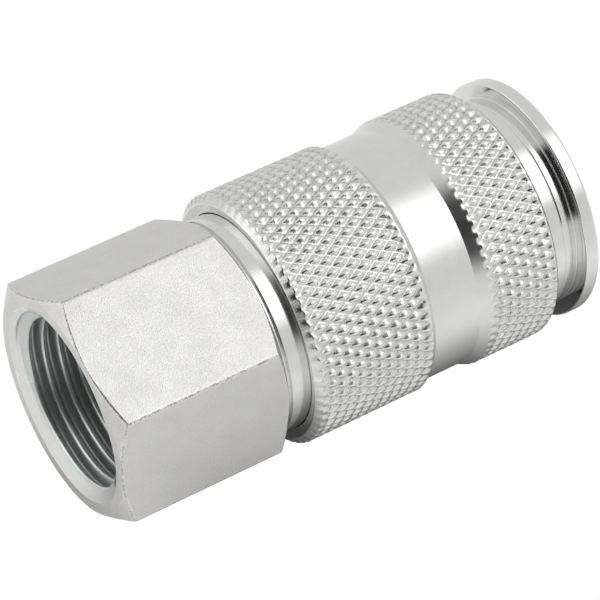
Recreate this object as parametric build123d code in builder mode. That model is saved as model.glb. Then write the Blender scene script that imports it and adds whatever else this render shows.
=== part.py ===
from build123d import *

import math
import os

# Quick disconnect coupler for air lines: a hex adaptor with a female inlet thread, a turned nose
# body that takes the plug, and a knurled sleeve that is pulled back to let the locking balls go.
# The coupler's axis is +X, from the inlet to the nose. The origin is on that axis where the
# inlet's lead-in ends and its thread begins. Units are millimetres.
# A "station" is a distance along the axis from the flat inlet face.

os.makedirs("parts", exist_ok=True)

# How far a cutting or joining shape runs past the surface it has to clear
margin = 1.0

# Inlet adaptor: hex, inlet thread, collar
hex_sides = 6
hex_across_flats = 25.0
hex_length = 20.2
inlet_face_circle = 12.45  # radius of the flat ring left by the hex chamfer at the inlet
rear_face_circle = 12.5
hex_chamfer_angle = 30.0
thread_minor_r = 9.316
lead_in_r = 11.18
lead_in = lead_in_r - thread_minor_r  # a 45 degree countersink is as deep as it is wide
thread_end = 15.0
flow_bore_r = 5.5
socket_start = 17.0
body_r = 10.4
collar_r = 12.38
collar_end = 25.0
relief_width = 0.5
relief_depth = 0.4
edge_break = 0.3

# Nose body
tail_start = 17.8
valve_bore_r = 8.6
web_start = 39.6
web_end = 41.0
tip_bore_r = 6.3
ball_zone_r = 8.05
ball_zone_end = 47.0
socket_r = 7.8
neck_start = 48.9
neck_r = 12.2
flange_start = 57.5
flange_end = 59.2
flange_r = 13.87
mouth_r = 8.9
tail_groove = (19.2, 20.6)
tail_groove_r = 9.5
snap_groove = (31.05, 31.95)
snap_groove_r = 9.0

# Locking balls
ball_count = 8
ball_r = 1.75
ball_station = 45.0
ball_pitch_r = 8.75  # from the axis to a ball's centre, locked
ball_lift = 0.9
ball_hole_r = 1.80
ball_hole_neck_r = 1.62
ball_hole_throat_r = 1.22
ball_hole_step_r = 8.5

# Release sleeve
sleeve_travel = 2.6
sleeve_start = 22.58
sleeve_end = 53.6
sleeve_lip = 0.36  # depth of the hollow rear face
rear_rim_r = 13.55  # the ring of the rear face that stands out furthest
grip_r = 14.45
waist_r = 13.77
rear_grip_start = 23.3
rear_grip_end = 37.0
waist_start = 37.75
waist_end = 43.47
front_grip_start = 45.0
front_corner_width = 0.5
front_corner_depth = 0.45
sleeve_bore_r = 12.45
sleeve_shoulder = 38.0
land_r = 10.55
release_r = 11.55
ramp_start = 44.79
ramp_slope = ball_lift / sleeve_travel
ramp_end = ramp_start + (release_r - land_r) / ramp_slope
stop_gap = 0.05
sleeve_front_bore_r = 12.7

# Sleeve spring and its washer
washer_thickness = 0.8
washer_inner_r = 10.5
washer_outer_r = 12.35
sleeve_wire_r = 0.55
sleeve_spring_r = 11.4
sleeve_spring_turns = 5

# Valve: insert, poppet, spring and its retainer
insert_r = 8.58
insert_start = 32.0
seat_outer_r = 7.4
seal_pocket_start = 37.5
seal_pocket_r = 8.0
snap_ring_inner_r = 8.0
snap_ring_outer_r = 8.95
snap_ring_gap_angle = 50.0
retainer_flange_r = 10.3
retainer_hub_r = 8.5
retainer_hub_end = 18.6
retainer_bore_r = 5.2
skirt_start = 21.9
skirt_end = 26.2
skirt_r = 8.53
skirt_inner_r = 6.6
skirt_taper = 0.6
spring_step = 26.5
waist_outer_r = 6.9
waist_inner_r = 5.6
head_start = 29.6
head_r = 7.2
head_floor = 0.2  # how far the hollow stops short of the head
seal_groove = (30.9, 32.54)
seal_groove_r = 5.68
cap_end = 33.3
cap_r = 6.1
fin_end = 36.6
fin_reach = 5.0
fin_thickness = 1.6
window_count = 6
window_r = 1.3
valve_wire_r = 0.45
valve_spring_r = 5.95
valve_spring_turns = 4

# O-rings: radius of the ring's centre line, radius of its section
plug_seal_ring_r = 7.03
plug_seal_section_r = 0.95
joint_seal_section_r = 0.44
valve_seal_ring_r = 6.5
valve_seal_section_r = 0.8

# The sketch plane of every turned profile: x is the station, y the distance from the axis
half_section = Plane(origin=(-lead_in, 0, 0), x_dir=(1, 0, 0), z_dir=(0, -1, 0))


def cross_section(station):
    """Return the plane square to the axis at a station, with its x along +Y and its y along +Z."""
    return Plane(origin=(station - lead_in, 0, 0), x_dir=(0, 1, 0), z_dir=(1, 0, 0))


def o_ring(station, mean_r, section_r):
    """Make an O-ring round the coupler's axis."""
    with BuildPart() as ring:
        with BuildSketch(half_section):
            with Locations((station, mean_r)):
                Circle(section_r)
        revolve(axis=Axis.X)
    return ring


def plain_ring(start, end, inner_r, outer_r):
    """Make a flat ring between two stations."""
    with BuildPart() as ring:
        with BuildSketch(cross_section(start)):
            Circle(outer_r)
            Circle(inner_r, mode=Mode.SUBTRACT)
        extrude(amount=end - start)
    return ring


def coil_spring(start, end, mean_r, wire_r, turns):
    """Make a compression spring that fills the space between two stations."""
    length = end - start - 2 * wire_r
    foot = start + wire_r - lead_in
    with BuildPart() as spring:
        with BuildLine() as wire_line:
            Helix(length / turns, length, mean_r, center=(foot, 0, 0), direction=(1, 0, 0))
        with BuildSketch(Plane(origin=wire_line.line @ 0, z_dir=wire_line.line % 0)):
            Circle(wire_r)
        sweep(is_frenet=True)
    return spring


def save(piece, name):
    """Label a finished piece and write it to its own file."""
    piece.part.label = name
    export_step(piece.part, f"parts/{name}.step")


# The adaptor: a hex blank with both ends chamfered, a turned collar, then the bores
half_side_angle = 180 / hex_sides
corner_r = hex_across_flats / 2 / math.cos(math.radians(half_side_angle))
chamfer_slope = math.tan(math.radians(hex_chamfer_angle))
inlet_chamfer = (corner_r - inlet_face_circle) * chamfer_slope
rear_chamfer = (corner_r - rear_face_circle) * chamfer_slope

with BuildPart() as inlet_adaptor:
    with BuildSketch(cross_section(0)):
        RegularPolygon(
            hex_across_flats / 2, hex_sides, major_radius=False, rotation=half_side_angle
        )
    extrude(amount=hex_length)
    with BuildSketch(half_section):
        with BuildLine():
            Polyline(
                (0, 0),
                (0, inlet_face_circle),
                (inlet_chamfer, corner_r),
                (hex_length - rear_chamfer, corner_r),
                (hex_length, rear_face_circle),
                (hex_length, 0),
                close=True,
            )
        make_face()
    revolve(axis=Axis.X, mode=Mode.INTERSECT)
    with BuildSketch(half_section):
        with BuildLine():
            Polyline(
                (hex_length - margin, 0),
                (hex_length - margin, collar_r - relief_depth),
                (hex_length + relief_width, collar_r - relief_depth),
                (hex_length + relief_width, collar_r),
                (collar_end - edge_break, collar_r),
                (collar_end, collar_r - edge_break),
                (collar_end, 0),
                close=True,
            )
        make_face()
    revolve(axis=Axis.X)
    with BuildSketch(half_section):
        with BuildLine():
            Polyline(
                (0, 0),
                (0, lead_in_r),
                (lead_in, thread_minor_r),
                (thread_end, thread_minor_r),
                (thread_end, flow_bore_r),
                (socket_start, flow_bore_r),
                (socket_start, body_r),
                (collar_end, body_r),
                (collar_end, 0),
                close=True,
            )
        make_face()
    revolve(axis=Axis.X, mode=Mode.SUBTRACT)

save(inlet_adaptor, "inlet_adaptor")


# One tapered ball hole, narrow towards the axis so that a ball can't fall into the socket
with BuildPart() as ball_hole:
    with BuildSketch(half_section):
        with BuildLine():
            Polyline(
                (ball_station, ball_zone_r - margin),
                (ball_station + ball_hole_throat_r, ball_zone_r - margin),
                (ball_station + ball_hole_neck_r, ball_zone_r),
                (ball_station + ball_hole_r, ball_hole_step_r),
                (ball_station + ball_hole_r, body_r + margin),
                (ball_station, body_r + margin),
                close=True,
            )
        make_face()
    revolve(axis=Axis((ball_station - lead_in, 0, 0), (0, 0, 1)))

ball_angles = [360 / ball_count * index for index in range(ball_count)]

# The nose body: one turned piece with a ring of ball holes
with BuildPart() as nose_body:
    with BuildSketch(half_section):
        with BuildLine():
            Polyline(
                (tail_start, valve_bore_r),
                (tail_start, body_r - edge_break),
                (tail_start + edge_break, body_r),
                (tail_groove[0], body_r),
                (tail_groove[0], tail_groove_r),
                (tail_groove[1], tail_groove_r),
                (tail_groove[1], body_r),
                (neck_start, body_r),
                (neck_start, neck_r),
                (flange_start, neck_r),
                (flange_start, flange_r - edge_break / 2),
                (flange_start + edge_break / 2, flange_r),
                (flange_end - edge_break, flange_r),
                (flange_end, flange_r - edge_break),
                (flange_end, mouth_r),
                (flange_end - (mouth_r - socket_r), socket_r),
                (ball_zone_end, socket_r),
                (ball_zone_end, ball_zone_r),
                (web_end, ball_zone_r),
                (web_end, tip_bore_r),
                (web_start, tip_bore_r),
                (web_start, valve_bore_r),
                (snap_groove[1], valve_bore_r),
                (snap_groove[1], snap_groove_r),
                (snap_groove[0], snap_groove_r),
                (snap_groove[0], valve_bore_r),
                close=True,
            )
        make_face()
    revolve(axis=Axis.X)
    for angle in ball_angles:
        add(ball_hole.part.rotate(Axis.X, angle), mode=Mode.SUBTRACT)

save(nose_body, "nose_body")


# The release sleeve: grips, waist, spring chamber, the land that holds the balls in and the ramp
# that lets them rise as the sleeve comes back
with BuildPart() as release_sleeve:
    with BuildSketch(half_section):
        with BuildLine():
            Polyline(
                (sleeve_start + sleeve_lip, sleeve_bore_r),
                (sleeve_start, rear_rim_r),
                (rear_grip_start, grip_r),
                (rear_grip_end, grip_r),
                (waist_start, waist_r),
                (waist_end, waist_r),
                (front_grip_start, grip_r),
                (sleeve_end - front_corner_width, grip_r),
                (sleeve_end, grip_r - front_corner_depth),
                (sleeve_end, sleeve_front_bore_r + edge_break),
                (sleeve_end - edge_break, sleeve_front_bore_r),
                (neck_start - stop_gap, sleeve_front_bore_r),
                (neck_start - stop_gap, release_r),
                (ramp_end, release_r),
                (ramp_start, land_r),
                (sleeve_shoulder, land_r),
                (sleeve_shoulder, sleeve_bore_r),
                close=True,
            )
        make_face()
    revolve(axis=Axis.X)

save(release_sleeve, "release_sleeve")


# The sleeve spring pushes the washer, and the washer pushes the sleeve's shoulder
washer_front = sleeve_shoulder - stop_gap
washer_back = washer_front - washer_thickness
thrust_washer = plain_ring(washer_back, washer_front, washer_inner_r, washer_outer_r)
save(thrust_washer, "thrust_washer")

sleeve_spring = coil_spring(
    collar_end, washer_back, sleeve_spring_r, sleeve_wire_r, sleeve_spring_turns
)
save(sleeve_spring, "sleeve_spring")


# The locking balls, each in its own hole
for number, angle in enumerate(ball_angles, start=1):
    with BuildPart() as locking_ball:
        turn = math.radians(angle)
        across = -ball_pitch_r * math.sin(turn)
        up = ball_pitch_r * math.cos(turn)
        with Locations((ball_station - lead_in, across, up)):
            Sphere(ball_r)
    save(locking_ball, f"locking_ball_{number}")


# The seat insert: a conical valve seat at the back and a pocket for the plug seal in front
with BuildPart() as seat_insert:
    with BuildSketch(half_section):
        with BuildLine():
            Polyline(
                (insert_start, seat_outer_r),
                (insert_start, insert_r),
                (web_start - stop_gap, insert_r),
                (web_start - stop_gap, seal_pocket_r),
                (seal_pocket_start, seal_pocket_r),
                (seal_pocket_start, tip_bore_r),
                (insert_start + seat_outer_r - tip_bore_r, tip_bore_r),
                close=True,
            )
        make_face()
    revolve(axis=Axis.X)

save(seat_insert, "seat_insert")


# The snap ring behind the insert, with a gap for the pliers
snap_start = snap_groove[0] + stop_gap
gap_reach = snap_ring_outer_r + margin
gap_half_width = gap_reach * math.tan(math.radians(snap_ring_gap_angle / 2))
with BuildPart() as seat_snap_ring:
    with BuildSketch(cross_section(snap_start)):
        Circle(snap_ring_outer_r)
        Circle(snap_ring_inner_r, mode=Mode.SUBTRACT)
        with BuildLine():
            Polyline((0, 0), (gap_reach, -gap_half_width), (gap_reach, gap_half_width), close=True)
        make_face(mode=Mode.SUBTRACT)
    extrude(amount=insert_start - stop_gap - snap_start)

save(seat_snap_ring, "seat_snap_ring")


# The valve poppet: a hollow skirt that guides it, a waist with flow windows, a head with a groove
# for its seal, and crossed fins that the plug's tip pushes
with BuildPart() as valve_poppet:
    with BuildSketch(half_section):
        with BuildLine():
            Polyline(
                (skirt_start, skirt_inner_r),
                (skirt_start, skirt_r - edge_break),
                (skirt_start + edge_break, skirt_r),
                (skirt_end, skirt_r),
                (skirt_end + skirt_taper, waist_outer_r),
                (head_start, waist_outer_r),
                (head_start, head_r),
                (seal_groove[0], head_r),
                (seal_groove[0], seal_groove_r),
                (seal_groove[1], seal_groove_r),
                (seal_groove[1], cap_r),
                (cap_end, cap_r),
                (cap_end, 0),
                (head_start - head_floor, 0),
                (head_start - head_floor, waist_inner_r),
                (spring_step, waist_inner_r),
                (spring_step, skirt_inner_r),
                close=True,
            )
        make_face()
    revolve(axis=Axis.X)
    with BuildSketch(cross_section(cap_end)):
        Rectangle(2 * fin_reach, fin_thickness)
        Rectangle(fin_thickness, 2 * fin_reach)
    extrude(amount=fin_end - cap_end)
    window_station = (skirt_end + skirt_taper + head_start) / 2 - lead_in
    for index in range(window_count):
        spoke = Plane.XY.rotated((360 / window_count * index, 0, 0)).offset(waist_inner_r - margin)
        with BuildSketch(spoke):
            with Locations((window_station, 0)):
                Circle(window_r)
        extrude(amount=waist_outer_r - waist_inner_r + 2 * margin, mode=Mode.SUBTRACT)

save(valve_poppet, "valve_poppet")


# The retainer that the valve spring stands on
with BuildPart() as spring_retainer:
    with BuildSketch(cross_section(socket_start)):
        Circle(retainer_flange_r)
    extrude(amount=tail_start - socket_start)
    with BuildSketch(cross_section(tail_start)):
        Circle(retainer_hub_r)
    extrude(amount=retainer_hub_end - tail_start)
    with BuildSketch(cross_section(socket_start)):
        Circle(retainer_bore_r)
    extrude(amount=retainer_hub_end - socket_start, mode=Mode.SUBTRACT)

save(spring_retainer, "spring_retainer")

valve_spring = coil_spring(
    retainer_hub_end, spring_step, valve_spring_r, valve_wire_r, valve_spring_turns
)
save(valve_spring, "valve_spring")


# The three O-rings
plug_seal = o_ring(
    (seal_pocket_start + web_start) / 2, plug_seal_ring_r, plug_seal_section_r
)
save(plug_seal, "plug_seal")

joint_seal = o_ring(
    sum(tail_groove) / 2, (tail_groove_r + body_r) / 2, joint_seal_section_r
)
save(joint_seal, "joint_seal")

valve_seal = o_ring(sum(seal_groove) / 2, valve_seal_ring_r, valve_seal_section_r)
save(valve_seal, "valve_seal")
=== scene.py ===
import math

import bmesh
import bpy
import numpy as np
from mathutils import Matrix, Vector


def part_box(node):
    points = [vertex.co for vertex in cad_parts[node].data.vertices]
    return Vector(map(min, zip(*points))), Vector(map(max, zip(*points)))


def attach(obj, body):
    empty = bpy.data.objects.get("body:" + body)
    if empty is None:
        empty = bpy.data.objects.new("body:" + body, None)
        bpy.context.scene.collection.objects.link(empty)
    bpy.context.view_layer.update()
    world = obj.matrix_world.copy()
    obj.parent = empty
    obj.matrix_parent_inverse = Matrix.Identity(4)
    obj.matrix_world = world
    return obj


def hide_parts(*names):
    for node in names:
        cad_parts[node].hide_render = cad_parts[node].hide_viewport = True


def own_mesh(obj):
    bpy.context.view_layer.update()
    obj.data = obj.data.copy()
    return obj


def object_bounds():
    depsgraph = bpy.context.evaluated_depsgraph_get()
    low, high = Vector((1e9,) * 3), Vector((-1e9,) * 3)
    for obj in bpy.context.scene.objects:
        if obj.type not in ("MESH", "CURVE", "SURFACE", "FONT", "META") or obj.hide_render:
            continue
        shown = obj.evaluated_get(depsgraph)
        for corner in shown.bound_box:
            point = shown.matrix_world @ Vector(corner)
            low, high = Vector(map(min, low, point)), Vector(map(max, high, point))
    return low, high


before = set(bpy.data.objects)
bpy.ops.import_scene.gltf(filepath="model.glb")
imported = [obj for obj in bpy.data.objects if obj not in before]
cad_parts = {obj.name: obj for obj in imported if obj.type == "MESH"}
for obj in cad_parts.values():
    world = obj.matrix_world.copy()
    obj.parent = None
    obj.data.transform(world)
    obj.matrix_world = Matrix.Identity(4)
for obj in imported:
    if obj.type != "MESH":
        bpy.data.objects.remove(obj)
cad_low, cad_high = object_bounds()
mm = 0.001


# Camera: a long lens a third of a metre away, above the bench and looking down on the coupler from
# the inlet's side, so that the axis runs from the lower left to the upper right.
view_azimuth = math.radians(31.7161)
view_elevation = math.radians(43.6276)
view_roll = math.radians(-1.4846)
view_distance = 351.996 * mm
aim_right = -0.0771 * mm
aim_up = -0.3401 * mm
lens_length, sensor_width = 196.271, 36

look = Vector((
    math.sin(view_azimuth) * math.cos(view_elevation),
    math.cos(view_azimuth) * math.cos(view_elevation),
    -math.sin(view_elevation),
))
level_right = Vector((math.cos(view_azimuth), -math.sin(view_azimuth), 0))
level_up = level_right.cross(look)
right = level_right * math.cos(view_roll) + level_up * math.sin(view_roll)
up = right.cross(look)
lens = bpy.data.cameras.new("camera")
lens.sensor_width = sensor_width
lens.lens = lens_length
lens.clip_start = 0.01
camera = bpy.data.objects.new("camera", lens)
camera.matrix_world = Matrix((right, up, -look)).transposed().to_4x4()
camera.location = (cad_low + cad_high) / 2 - look * view_distance + right * aim_right + up * aim_up
bpy.context.scene.collection.objects.link(camera)
bpy.context.scene.camera = camera


# Studio: a white tent over a white table with shade painted into its colour round the coupler, a
# large softbox above the nose, a second one behind the inlet, and two black flags at the front left,
# which give the polished steel its dark bands.
tent_light = 0.75
flag_light = 0.02
flag_direction = Vector((-0.62, -0.55, 0.55)).normalized()
flag_reach = (31, 41)  # degrees from its middle: fully dark inside the first, gone past the second
low_flag_direction = Vector((-0.93, -0.36, 0)).normalized()
low_flag_reach = (13, 21)
softbox_light = 0.85
softbox_direction = Vector((0.42, -0.44, 0.79)).normalized()
softbox_reach = (8, 33)
back_light = 0.6
back_direction = Vector((-0.86, 0.4, 0.22)).normalized()
back_reach = (16, 36)
lamp_distance = 0.7
lamp_side = 0.3
lamp_watts = 0.14
table_radius = 1.5
table_white = 0.92
table_glow = 0.1  # the table is opal acrylic, lit a little from below
painted_shadow_level = 0.22  # painted shadow: how light the table's colour is painted right under the sleeve
# Where the painted shadow lies along the axis, and how far from the axis it fades out
painted_shadow_start, painted_shadow_end = 16 * mm, 56 * mm
painted_shadow_reach = (5 * mm, 29 * mm)
painted_falloff, painted_falloff_reach = 0.86, (35 * mm, 80 * mm)  # painted fall-off: how much darker the table's colour is painted away from the coupler


def node(tree, kind, inputs=None, **settings):
    """Add a node; an input given another node's output is linked, and any other value is set."""
    made = tree.nodes.new(kind)
    for name, value in settings.items():
        setattr(made, name, value)
    for socket, value in (inputs or {}).items():
        if isinstance(value, bpy.types.NodeSocket):
            tree.links.new(value, made.inputs[socket])
        else:
            made.inputs[socket].default_value = value
    return made


def calc(tree, operation, *values):
    """Add a math node and return its output."""
    return node(tree, "ShaderNodeMath", dict(enumerate(values)), operation=operation).outputs[0]


def soft_step(tree, value, low, high, start=0.0, end=1.0):
    """Map a value smoothly from start at low to end at high."""
    inputs = {"Value": value, "From Min": low, "From Max": high, "To Min": start, "To Max": end}
    return node(tree, "ShaderNodeMapRange", inputs, interpolation_type="SMOOTHSTEP").outputs[0]


tent = bpy.data.worlds.new("tent")
tent.use_nodes = True
tree = tent.node_tree
tree.nodes.clear()
direction = node(tree, "ShaderNodeTexCoord").outputs["Generated"]
paths = node(tree, "ShaderNodeLightPath").outputs


def patch_of_light(centre, reach, level):
    """Return a level that falls to nothing between two angles from a direction."""
    towards = node(tree, "ShaderNodeVectorMath", {0: direction, 1: centre}, operation="DOT_PRODUCT")
    full, none = (math.cos(math.radians(angle)) for angle in reach)
    return soft_step(tree, towards.outputs["Value"], none, full, 0.0, level)


flagged = patch_of_light(flag_direction, flag_reach, tent_light - flag_light)
low_flagged = patch_of_light(low_flag_direction, low_flag_reach, tent_light - flag_light)
flagged = calc(tree, "MAXIMUM", flagged, low_flagged)
flagged = calc(tree, "MULTIPLY", flagged, calc(tree, "SUBTRACT", 1.0, paths["Is Diffuse Ray"]))
tent_level = calc(tree, "SUBTRACT", tent_light, flagged)
tent_level = calc(tree, "ADD", tent_level, patch_of_light(softbox_direction, softbox_reach, softbox_light))
tent_level = calc(tree, "ADD", tent_level, patch_of_light(back_direction, back_reach, back_light))
reflected = node(tree, "ShaderNodeBackground", {"Color": (1, 1, 0.985, 1), "Strength": tent_level})
backdrop = node(tree, "ShaderNodeBackground", {"Color": (1, 1, 1, 1), "Strength": 1.0})
both = node(tree, "ShaderNodeMixShader", {
    0: paths["Is Camera Ray"], 1: reflected.outputs[0], 2: backdrop.outputs[0],
})
node(tree, "ShaderNodeOutputWorld", {"Surface": both.outputs[0]})
bpy.context.scene.world = tent
bpy.context.scene.view_settings.view_transform = "Standard"

softbox_lamp = bpy.data.lights.new("softbox", "AREA")
softbox_lamp.size = lamp_side
softbox_lamp.energy = lamp_watts
softbox = bpy.data.objects.new("softbox", softbox_lamp)
softbox.location = (cad_low + cad_high) / 2 + softbox_direction * lamp_distance
softbox.rotation_euler = softbox_direction.to_track_quat("Z", "Y").to_euler()
softbox.visible_camera = False
bpy.context.scene.collection.objects.link(softbox)

table_mesh = bmesh.new()
bmesh.ops.create_circle(table_mesh, cap_ends=True, segments=64, radius=table_radius)
bmesh.ops.translate(table_mesh, verts=table_mesh.verts, vec=(0, 0, cad_low.z))
table = bpy.data.objects.new("table", bpy.data.meshes.new("table"))
table_mesh.to_mesh(table.data)
table_mesh.free()
bpy.context.scene.collection.objects.link(table)
table_paper_painted_shadow = bpy.data.materials.new("table_paper_painted_shadow")
table_paper_painted_shadow.use_nodes = True
tree = table_paper_painted_shadow.node_tree
tree.nodes.clear()
place = node(tree, "ShaderNodeTexCoord").outputs["Object"]
spot = node(tree, "ShaderNodeSeparateXYZ", {0: place}).outputs
past_end = calc(tree, "ABSOLUTE", calc(tree, "SUBTRACT", spot[0], (painted_shadow_start + painted_shadow_end) / 2))
past_end = calc(tree, "MAXIMUM", calc(tree, "SUBTRACT", past_end, (painted_shadow_end - painted_shadow_start) / 2), 0.0)
off_axis = node(tree, "ShaderNodeCombineXYZ", {0: past_end, 1: spot[1]}).outputs[0]
off_axis = node(tree, "ShaderNodeVectorMath", {0: off_axis}, operation="LENGTH").outputs["Value"]
# Painted shadow: the paper's colour is made darker under and round the coupler, and a little darker far from
# it, in place of the shade that falls there; camera rays still see plain white.
paper_tone_with_painted_shadow = soft_step(tree, off_axis, *painted_shadow_reach, painted_shadow_level, table_white)
paper_tone_with_painted_shadow = calc(tree, "MULTIPLY", paper_tone_with_painted_shadow, soft_step(tree, off_axis, *painted_falloff_reach, 1.0, painted_falloff))
paper = node(tree, "ShaderNodeBsdfDiffuse", {"Color": paper_tone_with_painted_shadow})
# The glow is dimmed by the same painted shadow.
glow = node(tree, "ShaderNodeEmission", {"Strength": calc(tree, "MULTIPLY", paper_tone_with_painted_shadow, table_glow)})
lit = node(tree, "ShaderNodeAddShader", {0: paper.outputs[0], 1: glow.outputs[0]})
bright = node(tree, "ShaderNodeEmission", {"Color": (1, 1, 1, 1), "Strength": 1.0})
seen = node(tree, "ShaderNodeLightPath").outputs["Is Camera Ray"]
both = node(tree, "ShaderNodeMixShader", {0: seen, 1: lit.outputs[0], 2: bright.outputs[0]})
node(tree, "ShaderNodeOutputMaterial", {"Surface": both.outputs[0]})
table.data.materials.append(table_paper_painted_shadow)


# Inlet adaptor: a hex blank of free-cutting steel, chamfered at both ends, bored, tapped from the
# left with a pipe thread and turned down to a collar at the right, then barrel finished and zinc
# plated, which leaves the flats finely grained and the corners rounded.
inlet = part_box("inlet_adaptor")[0].x
across_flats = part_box("inlet_adaptor")[1].y * 2
hex_end = inlet + 20.2 * mm
hex_chamfer = math.radians(30)
inlet_face_r = 12.45 * mm
rear_face_r = 12.45 * mm
hex_corner_r = {90: 0.75, 30: 0.35, -30: 0.3, -90: 0.4, -150: 0.4, 150: 0.45}  # in mm, by angle
collar_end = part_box("inlet_adaptor")[1].x
collar_r = 12.38 * mm
relief_r = 11.98 * mm
relief_end = hex_end + 0.5 * mm
socket_start = inlet + 17 * mm
socket_r = 10.4 * mm
flow_r = 5.5 * mm
thread_pitch = 1.814 * mm
thread_crest_r = 9.316 * mm
thread_root_r = 10.48 * mm
thread_end = inlet + 15 * mm
lead_in_r = 11.18 * mm
lead_in_end = inlet + 1.08 * mm
first_crest = inlet + 1.36 * mm  # where the thread's first crest crosses the +Y side
lead_in_show = inlet + 0.7 * mm  # the lead-in keeps the turned steel up to here; past it the bore's steel is painted darker as shade


def rounded(corners):
    """Return an outline's points: a corner (x, r, rounding) becomes an arc, a bare (x, r) stays."""
    arc_steps = 5
    support = 0.05 * mm
    points = []
    for index, corner in enumerate(corners):
        here = Vector(corner[:2])
        if len(corner) == 2:
            points.append(here)
            continue
        back = Vector(corners[index - 1][:2]) - here
        ahead = Vector(corners[(index + 1) % len(corners)][:2]) - here
        half = back.angle(ahead) / 2
        room = 0.42 * min(back.length, ahead.length)
        cut = min(corner[2] / math.tan(half), room)
        back.normalize()
        ahead.normalize()
        centre = here + (back + ahead).normalized() * cut / math.cos(half)
        first = here + back * cut - centre
        last = here + ahead * cut - centre
        beyond = min(support, 0.3 * room)
        points.append(centre + first + back * beyond)
        for step in range(arc_steps + 1):
            points.append(centre + first.slerp(last, step / arc_steps).normalized() * first.length)
        points.append(centre + last + ahead * beyond)
    return points


def skin(name, outlines, angles):
    """Make a closed mesh from one outline of (x, r) points at each angle round the axis."""
    rings = np.array([[(p[0], p[1]) for p in outline] for outline in outlines])
    turns = np.array(angles)[:, None]
    points = np.stack((rings[..., 0], -rings[..., 1] * np.cos(turns), rings[..., 1] * np.sin(turns)), 2)
    columns, rows = rings.shape[:2]
    column, row = np.meshgrid(np.arange(columns), np.arange(rows), indexing="ij")
    next_column, next_row = (column + 1) % columns, (row + 1) % rows
    here, beside = column * rows, next_column * rows
    faces = np.stack((here + row, here + next_row, beside + next_row, beside + row), 2).reshape(-1, 4)
    mesh = bpy.data.meshes.new(name)
    mesh.from_pydata(points.reshape(-1, 3).tolist(), [], faces.tolist())
    shell = bmesh.new()
    shell.from_mesh(mesh)
    bmesh.ops.remove_doubles(shell, verts=shell.verts, dist=1e-7)
    loose = [edge for edge in shell.edges if not edge.link_faces]
    bmesh.ops.delete(shell, geom=loose, context="EDGES")
    bmesh.ops.recalc_face_normals(shell, faces=shell.faces)
    if shell.calc_volume(signed=True) < 0:
        bmesh.ops.reverse_faces(shell, faces=shell.faces)
    shell.to_mesh(mesh)
    shell.free()
    mesh.shade_smooth()
    piece = bpy.data.objects.new(name, mesh)
    bpy.context.scene.collection.objects.link(piece)
    return piece


def make_group(name, kind, inputs, outputs):
    """Start a node group; return it with its input node and a function that links an output."""
    group = bpy.data.node_groups.new(name, kind)
    for label, socket, value in inputs:
        made = group.interface.new_socket(label, in_out="INPUT", socket_type=socket)
        if value is not None:
            made.default_value = value
    for label, socket in outputs:
        group.interface.new_socket(label, in_out="OUTPUT", socket_type=socket)
    results = node(group, "NodeGroupOutput").inputs

    def give(label, value):
        group.links.new(value, results[label])

    return group, node(group, "NodeGroupInput").outputs, give


def axis_radius(tree, position):
    """Return the outputs x, y, z of a position and its distance from the coupler's axis."""
    split = node(tree, "ShaderNodeSeparateXYZ", {0: position}).outputs
    across = node(tree, "ShaderNodeCombineXYZ", {1: split[1], 2: split[2]}).outputs[0]
    radius = node(tree, "ShaderNodeVectorMath", {0: across}, operation="LENGTH").outputs["Value"]
    return split[0], split[1], split[2], radius


def set_radius(tree, geometry, radius, wanted, where):
    """Move a geometry's points, where a selection holds, straight out or in to a wanted radius."""
    x, y, z, _ = axis_radius(tree, node(tree, "GeometryNodeInputPosition").outputs[0])
    ratio = calc(tree, "DIVIDE", wanted, radius)
    moved = {0: x, 1: calc(tree, "MULTIPLY", y, ratio), 2: calc(tree, "MULTIPLY", z, ratio)}
    position = node(tree, "ShaderNodeCombineXYZ", moved).outputs[0]
    inputs = {"Geometry": geometry, "Selection": where, "Position": position}
    return node(tree, "GeometryNodeSetPosition", inputs).outputs[0]


def paint(tree, geometry, material, where=True):
    """Give a geometry's faces a material, all of them or only where a selection holds."""
    inputs = {"Geometry": geometry, "Selection": where, "Material": material}
    return node(tree, "GeometryNodeSetMaterial", inputs).outputs[0]


def run_tree(piece, tree, values):
    """Run a geometry tree on a piece with its inputs set, and keep only the plain mesh it makes."""
    modifier = piece.modifiers.new(tree.name, "NODES")
    modifier.node_group = tree
    for socket in tree.interface.items_tree:
        if socket.in_out == "INPUT" and socket.name in values:
            modifier[socket.identifier] = values[socket.name]
    shaped = piece.evaluated_get(bpy.context.evaluated_depsgraph_get())
    mesh = bpy.data.meshes.new_from_object(shaped)
    piece.modifiers.remove(modifier)
    mesh.name = piece.name
    mesh.shade_smooth()
    piece.data = mesh


def fit(piece, body, slot, *nodes):
    """Put a finished piece on its body and hide the CAD nodes it stands for; its slot is not used."""
    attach(piece, body)
    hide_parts(*nodes)


def noise(tree, place, size, detail, roughness=0.5, finer=1.0):
    """Add a noise whose blotches have a size, or are a number of times finer, and return its value."""
    scale = calc(tree, "DIVIDE", finer, size)
    inputs = {"Vector": place, "Scale": scale, "Detail": detail, "Roughness": roughness}
    return node(tree, "ShaderNodeTexNoise", inputs).outputs[0]


# Zinc grain: the plating's fine crystals, as a height and as dark specks, and its faint clouds
zinc_grain, given, give = make_group(
    "zinc_grain",
    "ShaderNodeTree",
    [("Grain Size", "NodeSocketFloat", 0.0002), ("Cloud Size", "NodeSocketFloat", 0.004)],
    [("Height", "NodeSocketFloat"), ("Speck", "NodeSocketFloat"), ("Cloud", "NodeSocketFloat")],
)
place = node(zinc_grain, "ShaderNodeTexCoord").outputs["Object"]
fine = noise(zinc_grain, place, given["Grain Size"], 3.0, roughness=0.65)
cloud = noise(zinc_grain, place, given["Cloud Size"], 4.0, roughness=0.6)
give("Height", fine)
give("Speck", soft_step(zinc_grain, fine, 0.35, 0.62))
give("Cloud", soft_step(zinc_grain, cloud, 0.3, 0.7))

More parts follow.
